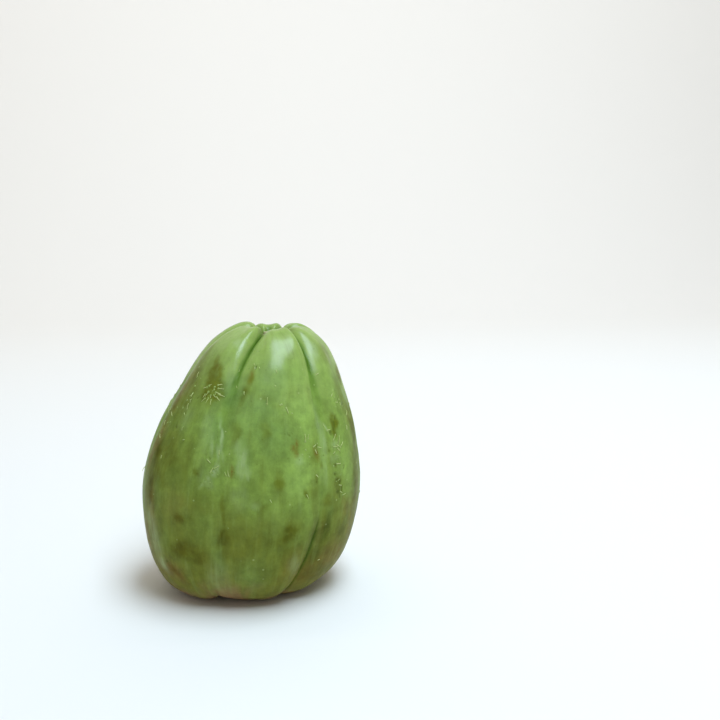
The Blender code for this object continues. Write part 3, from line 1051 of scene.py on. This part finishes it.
# %% The patterns that the skin's finish is made from
skin_finish, tree, shader = new_finish("waxy green skin")
place = add_node(tree, "TexCoord").outputs["Object"]
height = height_share(tree, place)
along = attribute(tree, "drum", "Vector")
furrow = attribute(tree, "furrow")
broad, fine = mottled(tree, place, 16 * MM)
small_broad, small_fine = mottled(tree, place, 4 * MM)
streak = noise_at(tree, stretched(tree, along, (8, 8, 3.4)), 1.0, 3.0, 0.6)
thin_streak = noise_at(tree, stretched(tree, along, (26, 26, 12)), 1.0, 4.0, 0.65)
vein = noise_at(tree, stretched(tree, along, (17, 17, 4)), 1.0, 3.0, 0.6, 0.5)
cloud = noise_at(tree, place, 230.0, 6.0, 0.72)
patchy = noise_at(tree, stretched(tree, along, (11, 11, 14)), 1.0, 3.0, 0.6)
uneven_height = maths(tree, "ADD", height, times(tree, broad, 0.12))
print("patterns for the skin:", len(tree.nodes), "nodes")

# %% The green from end to end, partly painted light and shade, then its streaks: colour, value, where it starts, where full, most
GREENS = [
    (STEM_GREEN_AND_TOP_LIGHT, uneven_height, 0.70, 0.98, 1.0),
    (BASE_OLIVE_AND_SHADE, uneven_height, 0.50, 0.22, 1.0),
    (FOOT_BROWN_AND_SHADE, uneven_height, 0.24, 0.06, 0.8),
    (RIM_BROWN_AND_BOUNCE_LIGHT, uneven_height, 0.14, 0.03, 0.95),
    (STREAK_GREEN, streak, 0.52, 0.75, 0.45),
    (WASHES["olive"], streak, 0.48, 0.28, 0.35),
]
green = BELLY_GREEN
for colour, value, start, full, most in GREENS:
    green = tinted(tree, green, colour, value, start, full, most)
print("greens and streaks:", len(GREENS))

# %% Washes over it, one mostly painted shade, and painted shade in the furrows
for name, colour in WASHES.items():
    share = times(tree, attribute(tree, name), eased(tree, fine, 0, 1, 0.75, 1.0))
    green = mixed(tree, share, green, colour)
# Painted shade in the folds: deep green in the furrows near the stem, dark olive near the foot, and a
# thin dark line at the bottom of each crevice.
furrow_shade_near_stem = eased(tree, height, 0.70, 0.86, 0.30, 0.85)
crease_shade_near_foot = times(
    tree, eased(tree, height, 0.45, 0.30), eased(tree, height, 0.10, 0.22, 0.2, 0.7)
)
green = mixed(tree, times(tree, furrow, furrow_shade_near_stem), green, FURROW_SHADE_GREEN)
green = mixed(tree, times(tree, furrow, crease_shade_near_foot), green, CREASE_SHADE_OLIVE)
green = mixed(tree, times(tree, attribute(tree, "crevice"), 0.5), green, FURROW_SHADE_GREEN)

# %% Pale veins, thin streaks, and a light and dark unevenness that is calmer near the stem
green = tinted(tree, green, VEIN_PALE, vein, 0.56, 0.74, 0.12)
green = tinted(tree, green, STREAK_GREEN, thin_streak, 0.40, 0.75, 0.15)
calm = eased(tree, height, 0.95, 0.65, 0.45, 1.0)
green = mixed(tree, calm, green, eased(tree, cloud, 0.28, 0.72, 0.84, 1.16), "MULTIPLY")
green = mixed(tree, calm, green, eased(tree, patchy, 0.28, 0.72, 0.90, 1.10), "MULTIPLY")

# %% Marks, with their edges broken up, painted light and shade among them
ragged = eased(tree, small_broad, 0.0, 0.9, 0.6, 1.0)
brushed = eased(tree, thin_streak, 0.38, 0.62, 0.55, 1.0)
crumbled = eased(tree, small_fine, 0.1, 0.6, 0.4, 1)
shares = {
    "bruise": (times(tree, eased(tree, attribute(tree, "bruise"), 0.05, 0.9), ragged), 1.0),
    "scar": (times(tree, attribute(tree, "scar"), crumbled), 0.85),
    "bloom_and_sheen": (times(tree, attribute(tree, "bloom_and_sheen"), brushed), 0.75),
    "pit": (eased(tree, attribute(tree, "pit"), 0.15, 0.7), 0.75),
}
for name, (share, most) in shares.items():
    blend = "MULTIPLY" if name == "bruise" else "MIX"
    green = mixed(tree, times(tree, share, most), green, MARKS[name], blend)

# %% Pale flecks and dark pores
FLECKS = 210.0  # to a metre
PORES = 480.0


def dots(tree, vector, per_metre):
    """Loose dots: how far each place is from the middle of its dot, and a colour for each dot."""
    inputs = {"Vector": vector, "Scale": per_metre, "Randomness": 1.0}
    made = add_node(tree, "TexVoronoi", inputs)
    return made.outputs["Distance"], made.outputs["Color"]


fleck_distance, fleck_colour = dots(tree, place, FLECKS)
red = add_node(tree, "SeparateColor", {0: fleck_colour}).outputs[0]
chosen = eased(tree, red, 0.70, 0.75)  # only some of the dots become flecks
fleck = eased(tree, fleck_distance, 0.12, 0.04, 0.0, 0.35)
green = mixed(tree, times(tree, fleck, chosen), green, FLECK_PALE)
pore_distance, _ = dots(tree, place, PORES)
pore = times(tree, eased(tree, pore_distance, 0.22, 0.06), small_broad)
green = mixed(tree, times(tree, pore, 0.35), green, PORE_DARK)
tree.links.new(green, shader.inputs["Base Color"])

# %% Fine grain, like leather
grain = times(tree, noise_at(tree, place, 900.0, 3.0, 0.6), 0.5)
for pattern_in, depth_in in ((pore, -0.5), (small_broad, 0.9), (thin_streak, 0.5)):
    grain = maths(tree, "ADD", grain, times(tree, pattern_in, depth_in))
relief = add_node(tree, "Bump", {"Strength": 0.35, "Distance": 0.12 * MM, "Height": grain})
tree.links.new(relief.outputs["Normal"], shader.inputs["Normal"])

# %% Gloss and wax
dull = times(tree, maths(tree, "MAXIMUM", shares["bruise"][0], shares["scar"][0]), 0.14)
rough = eased(tree, fine, 0.0, 1.0, 0.36, 0.46)
tree.links.new(maths(tree, "ADD", rough, dull), shader.inputs["Roughness"])
wax = eased(tree, uneven_height, 0.72, 0.98, 0.06, 0.57)
wax = maths(tree, "MAXIMUM", wax, times(tree, attribute(tree, "bloom_and_sheen"), 0.15))
wax = times(tree, wax, eased(tree, furrow, 0.3, 0.9, 1.0, 0.3))
tree.links.new(wax, shader.inputs["Coat Weight"])
shader.inputs["Coat Roughness"].default_value = 0.23
shader.inputs["Specular IOR Level"].default_value = 0.03
shader.inputs["Subsurface Weight"].default_value = 0.10
shader.inputs["Subsurface Radius"].default_value = (0.6, 1.0, 0.25)
shader.inputs["Subsurface Scale"].default_value = 2 * MM
skin.data.materials.clear()
skin.data.materials.append(skin_finish)
print("the skin's finish has", len(tree.nodes), "nodes")

# %% [markdown]
# ## Bristle, wart and cork
#
# A bristle is dry and straw-coloured, here and there a little greener. A wart is skin, so it
# takes the same greens by its height, and a paler mottling. The stub is cork: pale brown fibres
# with darker gaps. All three reuse the mottling group, each with its own patch size.

# %% Build the bristle's finish
STRAW = (0.64, 0.68, 0.28, 1)
STRAW_GREEN = (0.40, 0.50, 0.14, 1)

bristle_finish, tree, shader = new_finish("straw bristle")
place = add_node(tree, "TexCoord").outputs["Object"]
broad, fine = mottled(tree, place, 3 * MM)
tree.links.new(mixed(tree, broad, STRAW, STRAW_GREEN), shader.inputs["Base Color"])
tree.links.new(eased(tree, fine, 0, 1, 0.4, 0.6), shader.inputs["Roughness"])
bristles.data.materials.append(bristle_finish)
print("the bristle's finish has", len(tree.nodes), "nodes")

# %% Build the wart's finish
wart_finish, tree, shader = new_finish("wart skin")
place = add_node(tree, "TexCoord").outputs["Object"]
height = height_share(tree, place)
broad, fine = mottled(tree, place, 8 * MM)
# The skin's greens by height, lighter near the stem and darker near the base, partly painted light and
# shade.
green = tinted(tree, BELLY_GREEN, STEM_GREEN_AND_TOP_LIGHT, height, 0.45, 0.9)
green = tinted(tree, green, BASE_OLIVE_AND_SHADE, height, 0.45, 0.15)
green = mixed(tree, times(tree, broad, 0.3), green, FLECK_PALE)
tree.links.new(green, shader.inputs["Base Color"])
tree.links.new(eased(tree, fine, 0, 1, 0.4, 0.55), shader.inputs["Roughness"])
shader.inputs["Specular IOR Level"].default_value = 0.15
warts.data.materials.append(wart_finish)
print("the wart's finish has", len(tree.nodes), "nodes")

# %% Build the cork's finish
CORK_PALE = (0.52, 0.50, 0.24, 1)
CORK_DARK = (0.17, 0.14, 0.05, 1)

cork_finish, tree, shader = new_finish("dry cork")
place = add_node(tree, "TexCoord").outputs["Object"]
broad, fine = mottled(tree, place, 1.6 * MM)
cork = mixed(tree, fine, CORK_DARK, CORK_PALE)
tree.links.new(mixed(tree, broad, cork, CORK_PALE), shader.inputs["Base Color"])
tree.links.new(eased(tree, broad, 0, 1, 0.7, 0.9), shader.inputs["Roughness"])
fibres = noise_at(tree, stretched(tree, place, (1, 1, 0.25)), 2600.0, 3.0)
relief = add_node(tree, "Bump", {"Strength": 0.6, "Distance": 0.15 * MM, "Height": fibres})
tree.links.new(relief.outputs["Normal"], shader.inputs["Normal"])
stem_scar.data.materials.append(cork_finish)
print("the cork's finish has", len(tree.nodes), "nodes")

# %% [markdown]
# ## Tie the pieces to the frame
#
# The skin stands for the solid, which stays hidden under it for collision. The bristles, the
# warts and the stub grow on it, so everything rides on the one body.

# %% Ride on the one body, and stand in for the hidden solid
pieces = (skin, bristles, warts, stem_scar)
for piece in pieces:
    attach(piece, "root")
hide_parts("chayote")
print("on the one body:", ", ".join(piece.name for piece in pieces))

# %% [markdown]
# ## Floor and light
#
# A pale floor sweeps up behind the fruit, so that no horizon shows. It is an edge that is
# extruded into the floor, spun into the sweep and extruded again into the wall. One long, cool
# soft light hangs overhead, in front and a little to the right, and puts the highlights on the
# lobes' shoulders. A second one brightens the wall, and a warm pale surround fills the shadows.

# %% The floor
FLOOR_REACH = 3.0
SWEEP_START = 0.9
SWEEP_RADIUS = 0.6
SWEEP_STEPS = 16
FLOOR_COLOUR = (0.84, 0.82, 0.79, 1)


def only(kind, made):
    """Those of an operator's results that are of one kind."""
    return [item for item in made if isinstance(item, kind)]


Vert, Edge = bmesh.types.BMVert, bmesh.types.BMEdge
floor_shape = bmesh.new()
front_left = floor_shape.verts.new((-FLOOR_REACH, -FLOOR_REACH, 0))
front_right = floor_shape.verts.new((FLOOR_REACH, -FLOOR_REACH, 0))
edge = floor_shape.edges.new((front_left, front_right))
run = bmesh.ops.extrude_edge_only(floor_shape, edges=[edge])["geom"]
to_sweep = (0, FLOOR_REACH + SWEEP_START, 0)
bmesh.ops.translate(floor_shape, vec=to_sweep, verts=only(Vert, run))
bend = bmesh.ops.spin(
    floor_shape,
    geom=only((Vert, Edge), run),
    cent=(0, SWEEP_START, SWEEP_RADIUS),
    axis=(1, 0, 0),
    angle=math.radians(90),
    steps=SWEEP_STEPS,
)["geom_last"]
wall = bmesh.ops.extrude_edge_only(floor_shape, edges=only(Edge, bend))["geom"]
bmesh.ops.translate(floor_shape, vec=(0, 0, FLOOR_REACH), verts=only(Vert, wall))
floor = new_piece("floor", floor_shape)
floor_finish, tree, shader = new_finish("pale floor")
shader.inputs["Base Color"].default_value = FLOOR_COLOUR
shader.inputs["Roughness"].default_value = 0.9
floor.data.materials.append(floor_finish)


# %% The lights
COOL_WHITE = (0.69, 0.85, 1.0)
PLAIN_WHITE = (1.0, 0.99, 0.97)
WARM_WHITE = (1.0, 0.97, 0.90, 1)
SURROUND_STRENGTH = 0.36


def soft_light(name, position, aim, sides, power, colour):
    """A soft box of two sides' lengths in metres, turned from its position to face the aim."""
    light = bpy.data.lights.new(name, "AREA")
    light.shape = "RECTANGLE"
    light.size, light.size_y = sides
    light.energy = power
    light.color = colour
    lamp = bpy.data.objects.new(name, light)
    lamp.location = position
    lamp.rotation_euler = (Vector(aim) - Vector(position)).to_track_quat("-Z", "Y").to_euler()
    bpy.context.scene.collection.objects.link(lamp)
    print(name, "gives", power, "W")


soft_light("overhead", (0.26, -0.28, 1.1), (0.26, 0, LENGTH / 2), (0.44, 1.0), 15.0, COOL_WHITE)
soft_light("backdrop", (0.0, 0.45, 1.5), (0, 1.6, 0.95), (2.4, 0.3), 16.0, PLAIN_WHITE)
world = bpy.data.worlds.new("surround")
world.use_nodes = True
background = world.node_tree.nodes["Background"]
background.inputs["Color"].default_value = WARM_WHITE
background.inputs["Strength"].default_value = SURROUND_STRENGTH
bpy.context.scene.world = world
bpy.context.scene.view_settings.view_transform = "Standard"

# %% [markdown]
# ## The last step
#
# The scene is brought up to date, and the script ends.

# %% Bring the scene up to date
bpy.context.view_layer.update()
